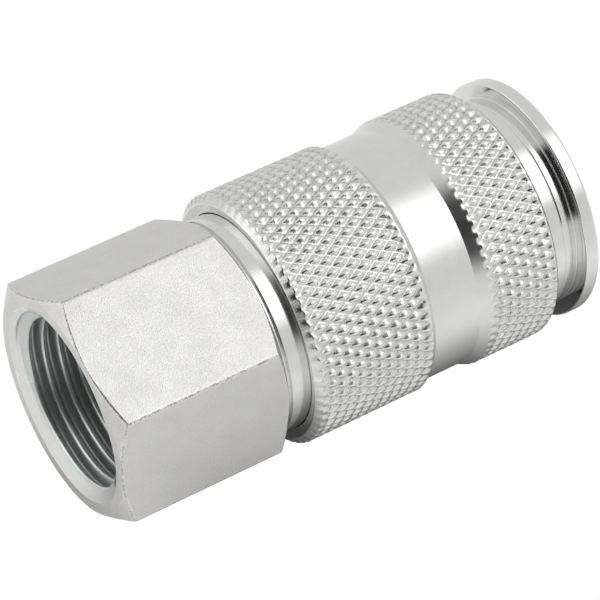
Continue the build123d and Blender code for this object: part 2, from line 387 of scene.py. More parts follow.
# Turning marks: the fine rings that a lathe tool leaves round the axis, on cylinders and on faces
turning_marks, given, give = make_group(
    "turning_marks",
    "ShaderNodeTree",
    [("Mark Spacing", "NodeSocketFloat", 0.00012)],
    [("Height", "NodeSocketFloat")],
)
x, y, z, radius = axis_radius(turning_marks, node(turning_marks, "ShaderNodeTexCoord").outputs["Object"])
round_angle = calc(turning_marks, "ARCTAN2", z, y)
rings = node(turning_marks, "ShaderNodeCombineXYZ", {
    0: calc(turning_marks, "DIVIDE", x, given["Mark Spacing"]),
    1: calc(turning_marks, "DIVIDE", radius, given["Mark Spacing"]),
    2: calc(turning_marks, "MULTIPLY", calc(turning_marks, "ABSOLUTE", round_angle), 0.6),
}).outputs[0]
give("Height", node(turning_marks, "ShaderNodeTexNoise", {
    "Vector": rings, "Scale": 1.0, "Detail": 2.0, "Roughness": 0.5,
}).outputs[0])

# Edge wear: corners where handling has rubbed the plating brighter and smoother, broken up by noise
edge_wear, given, give = make_group(
    "edge_wear",
    "ShaderNodeTree",
    [("Sharpness", "NodeSocketFloat", 0.55), ("Patch Size", "NodeSocketFloat", 0.0008)],
    [("Mask", "NodeSocketFloat")],
)
point = node(edge_wear, "ShaderNodeNewGeometry").outputs["Pointiness"]
place = node(edge_wear, "ShaderNodeTexCoord").outputs["Object"]
patch = noise(edge_wear, place, given["Patch Size"], 3.0)
rubbed = soft_step(edge_wear, point, 0.5, given["Sharpness"])
give("Mask", calc(edge_wear, "MULTIPLY", rubbed, soft_step(edge_wear, patch, 0.3, 0.55)))

# Hex edges: the corners and chamfer lines of the hex, rubbed bright and broken by dark nicks
hex_edges, given, give = make_group(
    "hex_edges",
    "ShaderNodeTree",
    [("Patch Size", "NodeSocketFloat", 0.0008)],
    [("Mask", "NodeSocketFloat"), ("Nick", "NodeSocketFloat")],
)
place = node(hex_edges, "ShaderNodeTexCoord").outputs["Object"]
x, y, z, radius = axis_radius(hex_edges, place)
half_side_angle = math.radians(30)
from_corner = calc(hex_edges, "WRAP", calc(hex_edges, "ARCTAN2", y, z), half_side_angle, -half_side_angle)
from_middle = calc(hex_edges, "SUBTRACT", half_side_angle, calc(hex_edges, "ABSOLUTE", from_corner))
along_side = calc(hex_edges, "MULTIPLY", radius, calc(hex_edges, "SINE", from_middle))
to_corner = calc(hex_edges, "SUBTRACT", across_flats / 2 * math.tan(half_side_angle), along_side)
side = calc(hex_edges, "DIVIDE", across_flats / 2, calc(hex_edges, "COSINE", from_middle))
steep = 1 / math.tan(hex_chamfer)
front_cone = calc(hex_edges, "MULTIPLY_ADD", x, steep, inlet_face_r - inlet * steep)
rear_cone = calc(hex_edges, "MULTIPLY_ADD", x, -steep, rear_face_r + hex_end * steep)
cone = calc(hex_edges, "MINIMUM", front_cone, rear_cone)
off_cone = calc(hex_edges, "ABSOLUTE", calc(hex_edges, "SUBTRACT", cone, radius))
off_side = calc(hex_edges, "ABSOLUTE", calc(hex_edges, "SUBTRACT", side, radius))
to_edge = calc(hex_edges, "MINIMUM", to_corner, calc(hex_edges, "ADD", off_cone, off_side))
patch = noise(hex_edges, place, given["Patch Size"], 3.0)
nick = noise(hex_edges, place, given["Patch Size"], 2.0, finer=3.5)
rubbed = soft_step(hex_edges, to_edge, 0.1 * mm, 0.5 * mm, 1.0, 0.0)
give("Mask", calc(hex_edges, "MULTIPLY", rubbed, soft_step(hex_edges, patch, 0.3, 0.55)))
nick = soft_step(hex_edges, nick, 0.4, 0.5)
nick = calc(hex_edges, "MULTIPLY", nick, soft_step(hex_edges, patch, 0.38, 0.5))
on_edge = soft_step(hex_edges, to_edge, 0.08 * mm, 0.26 * mm, 1.0, 0.0)
give("Nick", calc(hex_edges, "MULTIPLY", nick, on_edge))


def metal(name, color, roughness, grain, grain_size, marks, speck=0.03, edges=edge_wear, nicks=0.0):
    """Make a mottled, edge-worn metal finish; grain, its size and the turning marks are in mm."""
    cloud_size = 3
    clouded = [channel * 0.955 for channel in color]
    worn = [min(1.0, channel * 1.08) for channel in color]
    black, dirt = (0, 0, 0, 1), (0.05, 0.05, 0.05, 1)
    material = bpy.data.materials.new(name)
    material.use_nodes = True
    tree = material.node_tree
    tree.nodes.clear()
    grain_node = node(tree, "ShaderNodeGroup", node_tree=zinc_grain)
    grain_node.inputs["Grain Size"].default_value = grain_size * mm
    grain_node.inputs["Cloud Size"].default_value = cloud_size * mm
    marks_node = node(tree, "ShaderNodeGroup", node_tree=turning_marks)
    wear_node = node(tree, "ShaderNodeGroup", node_tree=edges)
    tone = node(tree, "ShaderNodeMix", {
        0: grain_node.outputs["Cloud"], 6: (*color, 1), 7: (*clouded, 1),
    }, data_type="RGBA").outputs[2]
    specked = calc(tree, "MULTIPLY", grain_node.outputs["Speck"], speck)
    tone = node(tree, "ShaderNodeMix", {0: specked, 6: tone, 7: black}, data_type="RGBA").outputs[2]
    tone = node(tree, "ShaderNodeMix", {
        0: wear_node.outputs["Mask"], 6: tone, 7: (*worn, 1),
    }, data_type="RGBA").outputs[2]
    if nicks:
        nicked = calc(tree, "MULTIPLY", wear_node.outputs["Nick"], nicks)
        tone = node(tree, "ShaderNodeMix", {0: nicked, 6: tone, 7: dirt}, data_type="RGBA").outputs[2]
    gloss = calc(tree, "MULTIPLY_ADD", grain_node.outputs["Cloud"], 0.16 * roughness, roughness)
    gloss = calc(tree, "MULTIPLY_ADD", wear_node.outputs["Mask"], -0.25 * roughness, gloss)
    bump = node(tree, "ShaderNodeBump", {
        "Height": grain_node.outputs["Height"], "Strength": 1.0, "Distance": grain * mm,
    }).outputs[0]
    bump = node(tree, "ShaderNodeBump", {
        "Height": marks_node.outputs["Height"], "Strength": 1.0, "Distance": marks * mm, "Normal": bump,
    }).outputs[0]
    shader = node(tree, "ShaderNodeBsdfPrincipled", {
        "Base Color": tone, "Metallic": 1.0, "Roughness": gloss, "Normal": bump,
    })
    node(tree, "ShaderNodeOutputMaterial", {"Surface": shader.outputs[0]})
    return material


def hex_radius(angle):
    """Return how far the hex's side is from the axis at an angle in degrees, with its corners rounded."""
    corner = min(hex_corner_r, key=lambda a: abs((angle - a + 180) % 360 - 180))
    off = math.radians(abs((angle - corner + 180) % 360 - 180))
    rounding = hex_corner_r[corner] * mm
    centre = (across_flats / 2 - rounding) / math.cos(math.radians(30))
    flat = across_flats / 2 / math.cos(math.radians(30) - off)
    if centre * math.sin(off) >= rounding / 2:
        return flat
    on_arc = centre * math.cos(off) + math.sqrt(rounding ** 2 - (centre * math.sin(off)) ** 2)
    return min(on_arc, flat)


from_corner = [0, 0.35, 0.7, 1.05, 1.4, 1.75, 2.1, 2.6, 3.3]
from_corner += np.linspace(4.5, 30, 18).tolist()
half_side = from_corner + [-step for step in from_corner[1:-1]]
adaptor_angles = sorted((corner + step) % 360 for corner in hex_corner_r for step in half_side)
thread_rows = np.arange(thread_end, inlet + 0.06 * mm, -0.125 * mm)
adaptor_outlines = []
for angle in adaptor_angles:
    side = hex_radius(angle)
    front = inlet + (side - inlet_face_r) * math.tan(hex_chamfer)
    rear = hex_end - (side - rear_face_r) * math.tan(hex_chamfer)
    adaptor_outlines.append(rounded([
        (inlet, lead_in_r, 0.08 * mm),
        (inlet, inlet_face_r, 0.12 * mm),
        (front, side, 0.3 * mm),
        (rear, side, 0.25 * mm),
        (hex_end, rear_face_r, 0.15 * mm),
        (hex_end, relief_r, 0.04 * mm),
        (relief_end, relief_r, 0.04 * mm),
        (relief_end, collar_r, 0.05 * mm),
        (collar_end, collar_r, 0.3 * mm),
        (collar_end, socket_r, 0.1 * mm),
        (socket_start, socket_r, 0.1 * mm),
        (socket_start, flow_r, 0.15 * mm),
        (thread_end, flow_r, 0.15 * mm),
        *[(row, np.interp(row, (inlet, lead_in_end), (lead_in_r, thread_crest_r))) for row in thread_rows],
    ]))
adaptor = skin("inlet_adaptor_steel", adaptor_outlines, np.radians(adaptor_angles))

thread_tree, given, give = make_group(
    "tapped_thread",
    "GeometryNodeTree",
    [
        ("Geometry", "NodeSocketGeometry", None),
        ("Pitch", "NodeSocketFloat", 0.0),
        ("First Crest", "NodeSocketFloat", 0.0),
        ("Crest Radius", "NodeSocketFloat", 0.0),
        ("Root Radius", "NodeSocketFloat", 0.0),
        ("End", "NodeSocketFloat", 0.0),
        ("Hex Steel", "NodeSocketMaterial", None),
        ("Turned Steel", "NodeSocketMaterial", None),
        ("Bore Steel Painted Shade", "NodeSocketMaterial", None),
        ("Hex End", "NodeSocketFloat", 0.0),
        ("Face Radius", "NodeSocketFloat", 0.0),
        ("Bore Shade Start", "NodeSocketFloat", 0.0),
    ],
    [("Geometry", "NodeSocketGeometry")],
)
x, y, z, radius = axis_radius(thread_tree, node(thread_tree, "GeometryNodeInputPosition").outputs[0])
turn = calc(thread_tree, "DIVIDE", calc(thread_tree, "ARCTAN2", z, y), 2 * math.pi)
past_first = calc(thread_tree, "SUBTRACT", x, given["First Crest"])
phase = calc(thread_tree, "SUBTRACT", calc(thread_tree, "DIVIDE", past_first, given["Pitch"]), turn)
flank = calc(thread_tree, "MULTIPLY", calc(thread_tree, "PINGPONG", phase, 0.5), 2.0)
cut = soft_step(thread_tree, flank, 0.04, 0.94)
to_end = calc(thread_tree, "SUBTRACT", given["End"], x)
fading = calc(thread_tree, "DIVIDE", to_end, calc(thread_tree, "MULTIPLY", given["Pitch"], 1.5))
fading = node(thread_tree, "ShaderNodeClamp", {0: fading}).outputs[0]
depth = calc(thread_tree, "SUBTRACT", given["Root Radius"], given["Crest Radius"])
depth = calc(thread_tree, "MULTIPLY", depth, calc(thread_tree, "MULTIPLY", cut, fading))
wanted = calc(thread_tree, "MAXIMUM", radius, calc(thread_tree, "ADD", given["Crest Radius"], depth))
in_bore = calc(thread_tree, "LESS_THAN", x, calc(thread_tree, "SUBTRACT", given["End"], 0.02 * mm))
tapped = set_radius(thread_tree, given["Geometry"], radius, wanted, in_bore)
on_hex = calc(thread_tree, "LESS_THAN", x, given["Hex End"])
in_hole = calc(thread_tree, "LESS_THAN", radius, given["Face Radius"])
painted = paint(thread_tree, tapped, given["Turned Steel"])
painted = paint(thread_tree, painted, given["Hex Steel"], on_hex)
painted = node(thread_tree, "GeometryNodeRealizeInstances", {0: painted}).outputs[0]
bore = calc(thread_tree, "MULTIPLY", on_hex, in_hole)
painted = paint(thread_tree, painted, given["Turned Steel"], bore)
# Past the lead-in the bore gets the darker steel, whose darkness is painted shade.
bore = calc(thread_tree, "MULTIPLY", bore, calc(thread_tree, "GREATER_THAN", x, given["Bore Shade Start"]))
give("Geometry", paint(thread_tree, painted, given["Bore Steel Painted Shade"], bore))

zinc = (0.80, 0.805, 0.80)
hex_zinc = (0.755, 0.75, 0.735)
run_tree(adaptor, thread_tree, {
    "Pitch": thread_pitch,
    "First Crest": first_crest,
    "Crest Radius": thread_crest_r,
    "Root Radius": thread_root_r,
    "End": thread_end,
    "Hex End": hex_end - 0.01 * mm,
    "Face Radius": lead_in_r - 0.03 * mm,
    "Bore Shade Start": lead_in_show,
    "Hex Steel": metal(
        "hex_zinc", hex_zinc, 0.31, grain=0.05, grain_size=0.16, marks=0.0, speck=0.1,
        edges=hex_edges, nicks=0.5,
    ),
    "Turned Steel": metal("collar_zinc", zinc, 0.15, grain=0.002, grain_size=0.2, marks=0.002),
    # The bore's steel has a darker, greenish colour: painted shade inside the bore.
    "Bore Steel Painted Shade": metal("thread_zinc_painted_shade", (0.66, 0.70, 0.69), 0.36, grain=0.012, grain_size=0.2, marks=0.001),
})
fit(adaptor, "housing", "zinc_plated_steel", "inlet_adaptor")


# Spring retainer: a turned brass ring with a hub that centres the valve spring. The nose body's tail
# clamps its flange against the bottom of the adaptor's socket.
retainer_rear, retainer_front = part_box("spring_retainer")[0].x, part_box("spring_retainer")[1].x
retainer_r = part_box("spring_retainer")[1].z
retainer_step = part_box("nose_body")[0].x
retainer_hub_r = 8.5 * mm
retainer_bore_r = 5.2 * mm


def turned(name, corners, material, columns=192):
    """Make a piece turned on the coupler's axis from the corners of its half-section."""
    angles = np.linspace(0, 2 * math.pi, columns, endpoint=False)
    piece = skin(name, [rounded(corners)] * columns, angles)
    piece.data.materials.append(material)
    return piece


brass = metal("turned_brass", (0.72, 0.52, 0.24), 0.24, grain=0.002, grain_size=0.2, marks=0.003, speck=0.08)
retainer = turned("spring_retainer_brass", [
    (retainer_rear, retainer_bore_r, 0.2 * mm),
    (retainer_rear, retainer_r, 0.15 * mm),
    (retainer_step, retainer_r, 0.1 * mm),
    (retainer_step, retainer_hub_r, 0.05 * mm),
    (retainer_front, retainer_hub_r, 0.2 * mm),
    (retainer_front, retainer_bore_r, 0.2 * mm),
], brass)
fit(retainer, "housing", "valve_brass", "spring_retainer")


# Valve spring: hard drawn steel wire coiled cold, with its end turns closed and ground flat. It
# stands on the retainer's hub and holds the poppet shut.
valve_wire_r = 0.45 * mm
valve_turns = 4.0

coil_tree, given, give = make_group(
    "ground_coil",
    "GeometryNodeTree",
    [
        ("Start", "NodeSocketFloat", 0.0),
        ("End", "NodeSocketFloat", 0.0),
        ("Coil Radius", "NodeSocketFloat", 0.0),
        ("Wire Radius", "NodeSocketFloat", 0.0),
        ("Turns", "NodeSocketFloat", 0.0),
        ("Closed Turns", "NodeSocketFloat", 0.8),
        ("Steps Per Turn", "NodeSocketFloat", 64.0),
        ("Wire", "NodeSocketMaterial", None),
    ],
    [("Geometry", "NodeSocketGeometry")],
)
steps = calc(coil_tree, "MULTIPLY", given["Turns"], given["Steps Per Turn"])
line = node(coil_tree, "GeometryNodeMeshLine", {"Count": calc(coil_tree, "ADD", steps, 1.0)}).outputs[0]
step = node(coil_tree, "GeometryNodeInputIndex").outputs[0]
turns = calc(coil_tree, "DIVIDE", step, given["Steps Per Turn"])
both_ends = calc(coil_tree, "MULTIPLY", given["Closed Turns"], 2.0)
open_turns = calc(coil_tree, "SUBTRACT", given["Turns"], both_ends)
closed_rise = calc(coil_tree, "MULTIPLY", given["Wire Radius"], 2.0)
length = calc(coil_tree, "SUBTRACT", given["End"], given["Start"])
open_length = calc(coil_tree, "SUBTRACT", length, given["Wire Radius"])
open_length = calc(coil_tree, "SUBTRACT", open_length, calc(coil_tree, "MULTIPLY", closed_rise, both_ends))
extra_rise = calc(coil_tree, "SUBTRACT", calc(coil_tree, "DIVIDE", open_length, open_turns), closed_rise)
opened = calc(coil_tree, "MAXIMUM", calc(coil_tree, "SUBTRACT", turns, given["Closed Turns"]), 0.0)
opened = calc(coil_tree, "MINIMUM", opened, open_turns)
foot = calc(coil_tree, "MULTIPLY_ADD", given["Wire Radius"], 0.5, given["Start"])
rise = calc(coil_tree, "MULTIPLY_ADD", turns, closed_rise, foot)
rise = calc(coil_tree, "MULTIPLY_ADD", opened, extra_rise, rise)
turned_by = calc(coil_tree, "MULTIPLY", turns, 2 * math.pi)
wire_line = node(coil_tree, "ShaderNodeCombineXYZ", {
    0: rise,
    1: calc(coil_tree, "MULTIPLY", calc(coil_tree, "COSINE", turned_by), given["Coil Radius"]),
    2: calc(coil_tree, "MULTIPLY", calc(coil_tree, "SINE", turned_by), given["Coil Radius"]),
}).outputs[0]
line = node(coil_tree, "GeometryNodeSetPosition", {"Geometry": line, "Position": wire_line}).outputs[0]
line = node(coil_tree, "GeometryNodeMeshToCurve", {0: line}).outputs[0]
section = node(coil_tree, "GeometryNodeCurvePrimitiveCircle", {
    "Resolution": 16, "Radius": given["Wire Radius"],
})
wire = node(coil_tree, "GeometryNodeCurveToMesh", {
    "Curve": line, "Profile Curve": section.outputs[0], "Fill Caps": True,
}).outputs[0]
x, y, z, _ = axis_radius(coil_tree, node(coil_tree, "GeometryNodeInputPosition").outputs[0])
ground = calc(coil_tree, "MINIMUM", calc(coil_tree, "MAXIMUM", x, given["Start"]), given["End"])
ground = node(coil_tree, "ShaderNodeCombineXYZ", {0: ground, 1: y, 2: z}).outputs[0]
wire = node(coil_tree, "GeometryNodeSetPosition", {"Geometry": wire, "Position": ground}).outputs[0]
wire = node(coil_tree, "GeometryNodeRealizeInstances", {0: wire}).outputs[0]
give("Geometry", paint(coil_tree, wire, given["Wire"]))


def coil(name, cad_node, wire_radius, turns, material):
    """Make a spring with ground ends that fills a CAD spring's length and reaches its radius."""
    low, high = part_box(cad_node)
    piece = bpy.data.objects.new(name, bpy.data.meshes.new(name))
    bpy.context.scene.collection.objects.link(piece)
    run_tree(piece, coil_tree, {
        "Start": low.x,
        "End": high.x,
        "Coil Radius": high.z - wire_radius,
        "Wire Radius": wire_radius,
        "Turns": turns,
        "Wire": material,
    })
    return piece


wire_grey = (0.52, 0.52, 0.53)
wire_steel = metal("drawn_wire", wire_grey, 0.28, grain=0.004, grain_size=0.15, marks=0.0, speck=0.1)
valve_spring = coil("valve_spring_wire", "valve_spring", valve_wire_r, valve_turns, wire_steel)
fit(valve_spring, "housing", "spring_steel", "valve_spring")
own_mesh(valve_spring)


# Valve poppet: turned brass, hollow behind its head, with six drilled windows that let the air out of
# the hollow and a cross of milled fins on the head, which the plug's tip pushes back.
poppet_rear, poppet_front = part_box("valve_poppet")[0].x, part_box("valve_poppet")[1].x
skirt_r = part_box("valve_poppet")[1].z
skirt_inner_r = 6.6 * mm
skirt_end = inlet + 26.2 * mm
spring_step = inlet + 26.5 * mm
poppet_waist_start = skirt_end + 0.6 * mm
poppet_waist_r, poppet_waist_inner_r = 6.9 * mm, 5.6 * mm
head_start = inlet + 29.6 * mm
head_r = 7.2 * mm
head_floor = 0.2 * mm
seal_groove_start, seal_groove_end = inlet + 30.9 * mm, inlet + 32.54 * mm
seal_groove_r = 5.68 * mm
cap_r = 6.1 * mm
cap_end = inlet + 33.3 * mm
fin_reach, fin_thickness = 5 * mm, 1.6 * mm
window_count, window_r = 6, 1.3 * mm


def fin_radius(off):
    """Return how far the crossed fins reach at an angle in degrees from the nearest fin's middle."""
    off = math.radians(off)
    if math.tan(off) < fin_thickness / 2 / fin_reach:
        return fin_reach / math.cos(off)
    return fin_thickness / 2 / math.sin(off)


fin_corner = math.degrees(math.atan(fin_thickness / 2 / fin_reach))
quarter = [0, 2.5, 5, 7, 8.4, fin_corner, 9.8, 11, 13, 16, 19, 22.5, 26, 30, 34, 38, 41.5, 45]
quarter += [90 - angle for angle in quarter[-2:0:-1]]
poppet_angles = [90 * side + angle for side in range(4) for angle in quarter]
poppet_outlines = []
for angle in poppet_angles:
    fin = fin_radius(abs((angle + 45) % 90 - 45))
    poppet_outlines.append(rounded([
        (poppet_rear, skirt_inner_r, 0.15 * mm),
        (poppet_rear, skirt_r, 0.3 * mm),
        (skirt_end, skirt_r, 0.1 * mm),
        (poppet_waist_start, poppet_waist_r, 0.2 * mm),
        (head_start, poppet_waist_r, 0.15 * mm),
        (head_start, head_r, 0.15 * mm),
        (seal_groove_start, head_r, 0.12 * mm),
        (seal_groove_start, seal_groove_r, 0.05 * mm),
        (seal_groove_end, seal_groove_r, 0.05 * mm),
        (seal_groove_end, cap_r, 0.08 * mm),
        (cap_end, cap_r, 0.25 * mm),
        (cap_end, fin, 0.15 * mm),
        (poppet_front, fin, 0.2 * mm),
        (poppet_front, 0),
        (head_start - head_floor, 0),
        (head_start - head_floor, poppet_waist_inner_r, 0.2 * mm),
        (spring_step, poppet_waist_inner_r, 0.1 * mm),
        (spring_step, skirt_inner_r, 0.1 * mm),
    ]))
poppet = skin("valve_poppet_brass", poppet_outlines, np.radians(poppet_angles))

drill_tree, given, give = make_group(
    "drilled_ring",
    "GeometryNodeTree",
    [
        ("Geometry", "NodeSocketGeometry", None),
        ("Holes", "NodeSocketInt", 6),
        ("Station", "NodeSocketFloat", 0.0),
        ("Inner Reach", "NodeSocketFloat", 0.0),
        ("Shoulder Reach", "NodeSocketFloat", 0.0),
        ("Outer Reach", "NodeSocketFloat", 0.0),
        ("Inner Hole Radius", "NodeSocketFloat", 0.0),
        ("Hole Radius", "NodeSocketFloat", 0.0),
        ("Bored Metal", "NodeSocketMaterial", None),
    ],
    [("Geometry", "NodeSocketGeometry")],
)
overlap = 0.05 * mm
taper = node(drill_tree, "GeometryNodeMeshCone", {
    "Vertices": 40,
    "Radius Top": given["Hole Radius"],
    "Radius Bottom": given["Inner Hole Radius"],
    "Depth": calc(drill_tree, "SUBTRACT", given["Shoulder Reach"], given["Inner Reach"]),
}).outputs["Mesh"]
lifted = node(drill_tree, "ShaderNodeCombineXYZ", {2: given["Inner Reach"]}).outputs[0]
taper = node(drill_tree, "GeometryNodeTransform", {"Geometry": taper, "Translation": lifted}).outputs[0]
drill_start = calc(drill_tree, "SUBTRACT", given["Shoulder Reach"], overlap)
drill = node(drill_tree, "GeometryNodeMeshCone", {
    "Vertices": 40,
    "Radius Top": given["Hole Radius"],
    "Radius Bottom": given["Hole Radius"],
    "Depth": calc(drill_tree, "SUBTRACT", given["Outer Reach"], drill_start),
}).outputs["Mesh"]
lifted = node(drill_tree, "ShaderNodeCombineXYZ", {2: drill_start}).outputs[0]
drill = node(drill_tree, "GeometryNodeTransform", {"Geometry": drill, "Translation": lifted}).outputs[0]
cutter = node(drill_tree, "GeometryNodeMeshBoolean", operation="UNION", solver="EXACT")
drill_tree.links.new(taper, cutter.inputs["Mesh 2"])
drill_tree.links.new(drill, cutter.inputs["Mesh 2"])
centres = node(drill_tree, "GeometryNodePoints", {"Count": given["Holes"]}).outputs[0]
at_station = node(drill_tree, "ShaderNodeCombineXYZ", {0: given["Station"]}).outputs[0]
centres = node(drill_tree, "GeometryNodeSetPosition", {
    "Geometry": centres, "Position": at_station,
}).outputs[0]
share = calc(drill_tree, "DIVIDE", node(drill_tree, "GeometryNodeInputIndex").outputs[0], given["Holes"])
turn = calc(drill_tree, "MULTIPLY", share, 2 * math.pi)
turn = node(drill_tree, "ShaderNodeCombineXYZ", {0: turn}).outputs[0]
cutters = node(drill_tree, "GeometryNodeInstanceOnPoints", {
    "Points": centres, "Instance": cutter.outputs[0], "Rotation": turn,
}).outputs[0]
cutters = node(drill_tree, "GeometryNodeRealizeInstances", {0: cutters}).outputs[0]
drilled = node(drill_tree, "GeometryNodeMeshBoolean", operation="DIFFERENCE", solver="EXACT")
drill_tree.links.new(given["Geometry"], drilled.inputs["Mesh 1"])
drill_tree.links.new(cutters, drilled.inputs["Mesh 2"])
bored = node(drill_tree, "GeometryNodeRealizeInstances", {0: drilled.outputs[0]}).outputs[0]
give("Geometry", paint(drill_tree, bored, given["Bored Metal"]))

run_tree(poppet, drill_tree, {
    "Holes": window_count,
    "Station": (poppet_waist_start + head_start) / 2,
    "Inner Reach": poppet_waist_inner_r - 1 * mm,
    "Shoulder Reach": poppet_waist_inner_r - 0.5 * mm,
    "Outer Reach": poppet_waist_r + 1 * mm,
    "Inner Hole Radius": window_r,
    "Hole Radius": window_r,
    "Bored Metal": brass,
})
poppet.data.set_sharp_from_angle(angle=math.radians(35))
fit(poppet, "poppet", "valve_brass", "valve_poppet")


# Valve seal: a moulded nitrile O-ring stretched into the groove of the poppet's head. It meets the
# insert's cone. The faint ridge round it is where the two halves of the mould met.
seal_points = 28
flash_height = 0.02 * mm


def o_ring(name, cad_node, material):
    """Make an O-ring that fills a CAD O-ring's box."""
    low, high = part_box(cad_node)
    section_r = (high.x - low.x) / 2
    ring_r = high.z - section_r
    outline = []
    for step in range(seal_points):
        angle = 2 * math.pi * step / seal_points
        on_flash = step == seal_points // 2
        reach = section_r + (flash_height if on_flash else 0)
        outline.append(((low.x + high.x) / 2 - reach * math.sin(angle), ring_r + reach * math.cos(angle)))
    return turned(name, outline, material, columns=128)


nitrile = bpy.data.materials.new("nitrile")
nitrile.use_nodes = True
tree = nitrile.node_tree
tree.nodes.clear()
grain_node = node(tree, "ShaderNodeGroup", node_tree=zinc_grain)
grain_node.inputs["Grain Size"].default_value = 0.12 * mm
grain_node.inputs["Cloud Size"].default_value = 1.5 * mm
tone = node(tree, "ShaderNodeMix", {
    0: grain_node.outputs["Cloud"], 6: (0.018, 0.018, 0.018, 1), 7: (0.035, 0.034, 0.033, 1),
}, data_type="RGBA").outputs[2]
bump = node(tree, "ShaderNodeBump", {
    "Height": grain_node.outputs["Height"], "Distance": 0.006 * mm,
}).outputs[0]
shader = node(tree, "ShaderNodeBsdfPrincipled", {
    "Base Color": tone,
    "Roughness": calc(tree, "MULTIPLY_ADD", grain_node.outputs["Cloud"], 0.15, 0.42),
    "Normal": bump,
})
node(tree, "ShaderNodeOutputMaterial", {"Surface": shader.outputs[0]})
fit(o_ring("valve_seal_rubber", "valve_seal", nitrile), "poppet", "seal_rubber", "valve_seal")


# Seat snap ring: an open ring stamped from spring strip. It sits in a groove of the nose body and
# keeps the seat insert from being pushed back.
strip_steel = metal("spring_strip", (0.5, 0.5, 0.5), 0.3, grain=0.004, grain_size=0.2, marks=0.0, speck=0.1)


def finish_cad(cad_node, material):
    """Give a CAD node, shown as it is, its finish."""
    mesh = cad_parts[cad_node].data
    mesh.materials.clear()
    mesh.materials.append(material)


finish_cad("seat_snap_ring", strip_steel)


# Seat insert: turned brass, pushed into the nose body against its web. Its rear edge is the cone that
# the valve closes on, and its front pocket holds the plug seal.
insert_rear, insert_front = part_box("seat_insert")[0].x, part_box("seat_insert")[1].x
insert_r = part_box("seat_insert")[1].z
seat_outer_r, seat_bore_r = 7.4 * mm, 6.3 * mm
seal_pocket_start, seal_pocket_r = inlet + 37.5 * mm, 8 * mm
insert = turned("seat_insert_brass", [
    (insert_rear, seat_outer_r, 0.08 * mm),
    (insert_rear, insert_r, 0.15 * mm),
    (insert_front, insert_r, 0.1 * mm),
    (insert_front, seal_pocket_r, 0.1 * mm),
    (seal_pocket_start, seal_pocket_r, 0.15 * mm),
    (seal_pocket_start, seat_bore_r, 0.15 * mm),
    (insert_rear + seat_outer_r - seat_bore_r, seat_bore_r, 0.15 * mm),
], brass)
fit(insert, "housing", "valve_brass", "seat_insert")


# Plug seal: a nitrile O-ring in the insert's pocket, held there by the nose body's web. It seals on
# the tip of the plug.
fit(o_ring("plug_seal_rubber", "plug_seal", nitrile), "housing", "seal_rubber", "plug_seal")


# Joint seal: a thin nitrile O-ring in the groove of the nose body's tail, which seals the screwed
# joint with the adaptor.
fit(o_ring("joint_seal_rubber", "joint_seal", nitrile), "housing", "seal_rubber", "joint_seal")


# Nose body: one turned steel piece, plated like the adaptor. Its tail screws into the adaptor, its
# neck and flange stand out of the sleeve, and eight drilled holes hold the locking balls.
nose_tail, nose_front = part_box("nose_body")[0].x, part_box("nose_body")[1].x
flange_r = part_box("nose_body")[1].z
neck_r = 12.2 * mm
flange_width = 1.7 * mm
neck_width = 10.3 * mm
mouth_r = 8.9 * mm
plug_bore_r = 7.8 * mm
ball_zone_r = 8.05 * mm
valve_bore_r = 8.6 * mm
web_bore_r = 6.3 * mm
ring_r = neck_r - 0.09 * mm
ball_count = 8
ball_station = (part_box("locking_ball_1")[0].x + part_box("locking_ball_1")[1].x) / 2
ball_hole_r, ball_hole_throat_r = 1.8 * mm, 1.22 * mm
ball_hole_throat_reach, ball_hole_step_reach = 7.05 * mm, 8.5 * mm
joint_groove_start, joint_groove_end, joint_groove_r = inlet + 19.2 * mm, inlet + 20.6 * mm, 9.5 * mm
neck_start, flange_start = nose_front - neck_width, nose_front - flange_width
web_start, web_end = inlet + 39.6 * mm, inlet + 41 * mm
ball_zone_end = inlet + 47 * mm
clip_groove_start, clip_groove_end, clip_groove_r = inlet + 31.05 * mm, inlet + 31.95 * mm, 9 * mm

nose_steel = metal("nose_zinc", zinc, 0.1, grain=0.002, grain_size=0.2, marks=0.0015)
nose = turned("nose_body_steel", [
    (nose_tail, valve_bore_r, 0.1 * mm),
    (nose_tail, socket_r, 0.3 * mm),
    (joint_groove_start, socket_r, 0.05 * mm),
    (joint_groove_start, joint_groove_r, 0.1 * mm),
    (joint_groove_end, joint_groove_r, 0.1 * mm),
    (joint_groove_end, socket_r, 0.05 * mm),
    (neck_start, socket_r, 0.1 * mm),
    (neck_start, neck_r, 0.15 * mm),
    (flange_start - 1.62 * mm, neck_r, 0.04 * mm),
    (flange_start - 1.5 * mm, ring_r, 0.04 * mm),
    (flange_start - 1.38 * mm, neck_r, 0.04 * mm),
    (flange_start - 0.72 * mm, neck_r, 0.04 * mm),
    (flange_start - 0.6 * mm, ring_r, 0.04 * mm),
    (flange_start, ring_r, 0.12 * mm),
    (flange_start, flange_r, 0.2 * mm),
    (nose_front, flange_r, 0.35 * mm),
    (nose_front, mouth_r, 0.12 * mm),
    (nose_front - (mouth_r - plug_bore_r), plug_bore_r, 0.2 * mm),
    (ball_zone_end, plug_bore_r, 0.06 * mm),
    (ball_zone_end, ball_zone_r, 0.06 * mm),
    (web_end, ball_zone_r, 0.06 * mm),
    (web_end, web_bore_r, 0.1 * mm),
    (web_start, web_bore_r, 0.1 * mm),
    (web_start, valve_bore_r, 0.1 * mm),
    (clip_groove_end, valve_bore_r, 0.05 * mm),
    (clip_groove_end, clip_groove_r, 0.05 * mm),
    (clip_groove_start, clip_groove_r, 0.05 * mm),
    (clip_groove_start, valve_bore_r, 0.05 * mm),
], nose_steel)
run_tree(nose, drill_tree, {
    "Holes": ball_count,
    "Station": ball_station,
    "Inner Reach": ball_hole_throat_reach,
    "Shoulder Reach": ball_hole_step_reach,
    "Outer Reach": socket_r + 1 * mm,
    "Inner Hole Radius": ball_hole_throat_r,
    "Hole Radius": ball_hole_r,
    "Bored Metal": nose_steel,
})
fit(nose, "housing", "zinc_plated_steel", "nose_body")


